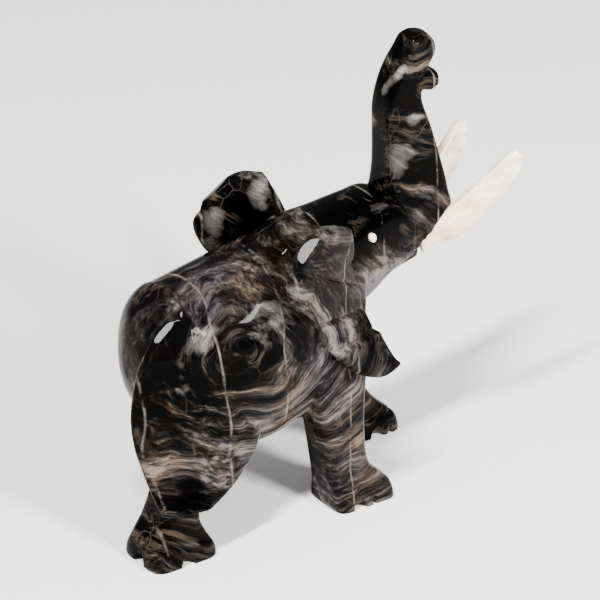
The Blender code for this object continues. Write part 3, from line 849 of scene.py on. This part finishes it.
def marble_material():
    """Polished folded marble: black, grey and brown beds rolled round a core under the right
    flank, with tan threads, white cloud patches, upright calcite veins and healed cracks. The polish
    gives small, sharp highlights over a deep ground; a few more highlights and reflections are
    painted into the colour as white patches."""
    made, tree, shader = new_material("polished_folded_marble")
    place = add(tree, "ShaderNodeTexCoord").outputs["Object"]
    folds = folded(tree, place, FOLDS)

    # Distance from the core, the way across the beds, drawn out ahead of the knee
    parts = add(tree, SPLIT, {0: folds}).outputs
    knee = (1 - MARBLE_DRAWN) * MARBLE_KNEE * MM
    ahead = add(tree, MATH, {0: parts["X"], 1: MARBLE_DRAWN, 2: knee}, operation="MULTIPLY_ADD")
    ahead = add(tree, MATH, {0: parts["X"], 1: ahead, 2: MARBLE_KNEE_BLEND * MM},
                operation="SMOOTH_MIN")
    ring = add(tree, JOIN, {"X": ahead, "Y": parts["Y"], "Z": parts["Z"]})
    ring = add(tree, VECTOR, {0: ring, 1: Vector(MARBLE_CORE) * MM}, operation="SUBTRACT")
    ring = add(tree, VECTOR, {0: ring, 1: MARBLE_SQUASH}, operation="MULTIPLY")
    ring = add(tree, VECTOR, {0: ring}, operation="LENGTH").outputs["Value"]
    across = add(tree, JOIN, {"X": ring})
    beds = add(tree, VECTOR, {0: folds, 1: MARBLE_LEAN, 2: across}, operation="MULTIPLY_ADD")

    # Each size of band adds its own contrast
    tone = MIDDLE
    for size_mm, detail, contrast in BANDS:
        bands = add(tree, NOISE, {"Vector": beds, "Scale": METRE / size_mm, "Detail": detail,
                                  "Roughness": 0.65})
        bands = add(tree, MATH, {0: bands, 1: MIDDLE}, operation="SUBTRACT")
        tone = add(tree, MATH, {0: bands, 1: contrast, 2: tone}, operation="MULTIPLY_ADD")

    # Crown, temple, trunk, left ear, haunch and hind foot are darker; jaw, right ear, belly,
    # fore shank, rump and back are paler. On the jaw, right ear, belly, fore shank and rump this is
    # partly the stone's own tone and partly painted reflection of the pale room and floor.
    tone_and_reflection = add(tree, NOISE, {"Vector": folds, "Scale": METRE / ZONE_SIZE, "Detail": 2})
    tone_and_reflection = gathered(tree, place, tone_and_reflection, MARBLE_TONE_AND_REFLECTION_ZONES)
    shift = add(tree, MATH, {0: tone_and_reflection, 1: MIDDLE}, operation="SUBTRACT")
    tone = add(tree, MATH, {0: shift, 1: 0.5, 2: tone}, operation="MULTIPLY_ADD")
    dark = add(tree, RAMP, {0: tone}, (
        (0.40, "#010101"),
        (0.50, "#080706"),
        (0.57, "#171411"),
        (0.68, "#2f2923"),
        (0.85, "#605951"),
    ))
    pale = add(tree, RAMP, {0: tone}, (
        (0.32, "#080707"),
        (0.45, "#151212"),
        (0.55, "#242120"),
        (0.70, "#3d3938"),
        (0.88, "#67615e"),
    ))
    hue = add(tree, MATH, {0: shift, 1: 2.2, 2: 0.45}, operation="MULTIPLY_ADD", use_clamp=True)
    colour = add(tree, MIX, {0: hue, 6: dark, 7: pale}, data_type="RGBA")

    # Iron stains some beds brown and leaves others a cold grey
    stain = add(tree, NOISE, {"Vector": folds, "Scale": METRE / STAIN_SIZE, "Detail": 3})
    stain = add(tree, RAMP, {0: stain}, ((0.38, "#eef2ff"), (0.50, "#fff8f4"), (0.64, "#ffebd2")))
    colour = add(tree, MIX, {0: 1.0, 6: colour, 7: stain}, data_type="RGBA", blend_type="MULTIPLY")

    # Tan threads run with the beds
    threads = add(tree, NOISE, {"Vector": beds, "Scale": METRE / THREAD_SIZE, "Detail": 4,
                                "Roughness": 0.6})
    threads = add(tree, RAMP, {0: threads}, ((0.54, 0.0), (0.59, 0.6), (0.63, 0.0)))
    patches = add(tree, NOISE, {"Vector": folds, "Scale": METRE / PATCH_SIZE, "Detail": 2})
    patches = add(tree, RAMP, {0: patches}, ((0.50, 0.0), (0.64, 1.0)))
    threads = add(tree, MATH, {0: threads, 1: patches}, operation="MULTIPLY")
    colour = add(tree, MIX, {0: threads, 6: colour, 7: "#4a3f33"}, data_type="RGBA")

    # White cloud patches, feathered along the beds. Some spots are painted highlights and
    # reflections:
    # a streak up the trunk, two patches on the left ear and one on the flank
    clouds_and_highlights = add(tree, VECTOR, {0: beds, 1: CLOUD_STRETCH}, operation="MULTIPLY")
    clouds_and_highlights = add(tree, NOISE, {"Vector": clouds_and_highlights, "Scale": METRE / CLOUD_SIZE, "Detail": 6,
                               "Roughness": 0.62})
    clouds_and_highlights = gathered(tree, place, clouds_and_highlights, CLOUDS_AND_PAINTED_HIGHLIGHTS)
    clouds_and_highlights = add(tree, RAMP, {0: clouds_and_highlights}, ((0.59, 0.0), (0.76, 0.9)))
    feather = add(tree, RAMP, {0: tone}, ((0.30, 0.3), (0.65, 1.0)))
    clouds_and_highlights = add(tree, MATH, {0: clouds_and_highlights, 1: feather}, operation="MULTIPLY")
    colour = add(tree, MIX, {0: clouds_and_highlights, 6: colour, 7: "#85817d"}, data_type="RGBA")

    # Upright calcite veins about a millimetre wide, and fine healed cracks between them
    wander = folded(tree, place, VEIN_WAVES)
    veins = add(tree, SPLIT, {0: wander}).outputs["X"]
    veins = add(tree, MATH, {0: veins, 1: METRE / VEIN_SPACING}, operation="MULTIPLY")
    veins = add(tree, MATH, {0: veins, 1: 0.5}, operation="PINGPONG")
    veins = add(tree, RAMP, {0: veins}, ((0.004, 1.0), (0.022, 0.0)))
    strength = add(tree, NOISE, {"Vector": place, "Scale": METRE / VEIN_FADING, "Detail": 5,
                                 "Roughness": 0.75})
    strength = add(tree, RAMP, {0: strength}, ((0.44, 0.0), (0.66, 0.7)))
    veins = add(tree, MATH, {0: veins, 1: strength}, operation="MULTIPLY")
    colour = add(tree, MIX, {0: veins, 6: colour, 7: "#7a726b"}, data_type="RGBA")
    bent = folded(tree, place, CRACK_WAVES)
    cracks = add(tree, "ShaderNodeTexVoronoi", {"Vector": bent, "Scale": METRE / CRACK_SPACING},
                 feature="DISTANCE_TO_EDGE").outputs["Distance"]
    cracks = add(tree, RAMP, {0: cracks}, ((0.004, 1.0), (0.014, 0.0)))
    cracks = add(tree, MATH, {0: cracks, 1: patches}, operation="MULTIPLY")
    cracks = add(tree, MATH, {0: cracks, 1: CRACK_STRENGTH}, operation="MULTIPLY")
    colour = add(tree, MIX, {0: cracks, 6: colour, 7: "#5c544e"}, data_type="RGBA")
    tree.links.new(colour.outputs[2], shader.inputs["Base Color"])

    # Hand polishing leaves slow waves in the gloss. The low specular level keeps the beds deep.
    waves = add(tree, NOISE, {"Vector": place, "Scale": METRE / POLISH_WAVE, "Detail": 3})
    gloss = add(tree, RAMP, {0: waves}, ((0.3, 0.02), (0.7, 0.06)))
    tree.links.new(gloss.outputs["Color"], shader.inputs["Roughness"])
    bump = add(tree, "ShaderNodeBump", {"Height": waves, "Strength": 0.5,
                                        "Distance": POLISH_WAVE_HEIGHT * MM})
    tree.links.new(bump.outputs["Normal"], shader.inputs["Normal"])
    shader.inputs["IOR"].default_value = 1.5
    shader.inputs["Specular IOR Level"].default_value = 0.02
    return made


def onyx_material():
    """White onyx, satin polished: creamy pink, sugary in the grain, letting a little light in."""
    made, tree, shader = new_material("satin_white_onyx")
    place = add(tree, "ShaderNodeTexCoord").outputs["Object"]

    # Bands run the length of a tusk, with a sugary grain over them
    length = add(tree, "ShaderNodeMapping", {"Vector": place, "Rotation": (0, 0.7, 0.2),
                                             "Scale": (0.25, 1, 1)})
    bands = add(tree, NOISE, {"Vector": length, "Scale": METRE / ONYX_BAND, "Detail": 4})
    sugar = add(tree, NOISE, {"Vector": place, "Scale": METRE / SUGAR_GRAIN, "Detail": 2})
    bands = add(tree, MATH, {0: sugar, 1: 0.5, 2: bands}, operation="MULTIPLY_ADD")
    colour = add(tree, RAMP, {0: bands}, ((0.58, "#e3b79c"), (0.74, "#f4d9c3"), (0.88, "#fff4e4")))
    tree.links.new(colour.outputs["Color"], shader.inputs["Base Color"])
    gloss = add(tree, RAMP, {0: sugar}, ((0.3, 0.22), (0.7, 0.36)))
    tree.links.new(gloss.outputs["Color"], shader.inputs["Roughness"])
    shader.inputs["IOR"].default_value = 1.5
    shader.inputs["Subsurface Weight"].default_value = 0.15
    shader.inputs["Subsurface Radius"].default_value = (1.0, 0.8, 0.6)
    shader.inputs["Subsurface Scale"].default_value = 2 * MM
    return made


def floor_material():
    """Matt white paper: no gloss, so shadows lie softly on it."""
    made, _, shader = new_material("white_paper")
    shader.inputs["Base Color"].default_value = linear("#f2f1ef")
    shader.inputs["Roughness"].default_value = 0.9
    return made


def studio(shift):
    """Pale floor, even room light, two windows and the camera."""
    bm = bmesh.new()
    bmesh.ops.create_grid(bm, x_segments=1, y_segments=1, size=FLOOR_HALF)
    floor = new_object("floor", bm)
    floor.data.materials.append(floor_material())

    world = bpy.data.worlds.new("soft_room")
    bpy.context.scene.world = world
    world.use_nodes = True
    background = world.node_tree.nodes["Background"]
    background.inputs["Color"].default_value = linear("#f4f4f6")
    background.inputs["Strength"].default_value = ROOM_LIGHT

    for name, way, distance, size, tilt, power in WINDOWS:
        light = bpy.data.lights.new(name, "AREA")
        light.shape = "RECTANGLE"
        light.size, light.size_y = size
        light.energy = power
        lamp = bpy.data.objects.new(name, light)
        lamp.location = Vector(LIT_MIDDLE) + Vector(way).normalized() * distance
        facing = Vector(way).to_track_quat("Z", "Y")
        lamp.rotation_euler = (facing @ Quaternion((0, 0, 1), math.radians(tilt))).to_euler()
        bpy.context.scene.collection.objects.link(lamp)

    level = math.cos(ELEVATION)
    back = Vector((math.sin(AZIMUTH) * level, -math.cos(AZIMUTH) * level, math.sin(ELEVATION)))
    camera = bpy.data.cameras.new("camera")
    camera.sensor_width = SENSOR
    camera.lens = SENSOR * VIEW_DISTANCE / (VIEW_WIDTH * VIEW_PART)
    camera.clip_start = CLIP_START
    viewer = bpy.data.objects.new("camera", camera)
    target = Vector(VIEW_TARGET) * VIEW_PART + shift
    viewer.location = target + back * VIEW_DISTANCE
    viewer.rotation_euler = back.to_track_quat("Z", "Y").to_euler()
    bpy.context.scene.collection.objects.link(viewer)
    bpy.context.scene.camera = viewer


def middle_of(points):
    """Middle of the points' box, in x and y."""
    return [(min(p[k] for p in points) + max(p[k] for p in points)) / 2 for k in (0, 1)]


marble = marble_material()
onyx = onyx_material()
body = carve()

# The carving is made about its own origin, and moved over the middle of its solid
mine = middle_of([vert.co for vert in body.verts])
theirs = middle_of(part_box("elephant"))
shift = Vector((theirs[0] - mine[0], theirs[1] - mine[1], 0))
set_in_place(body, "carved_body", "elephant", marble, shift)
for side, word in ((-1, "right"), (1, "left")):
    set_in_place(tusk(side), f"onyx_tusk_{word}", f"tusk_{word}", onyx, shift)
    set_in_place(eye(side), f"onyx_eye_{word}", f"eye_{word}", onyx, shift)
studio(shift)
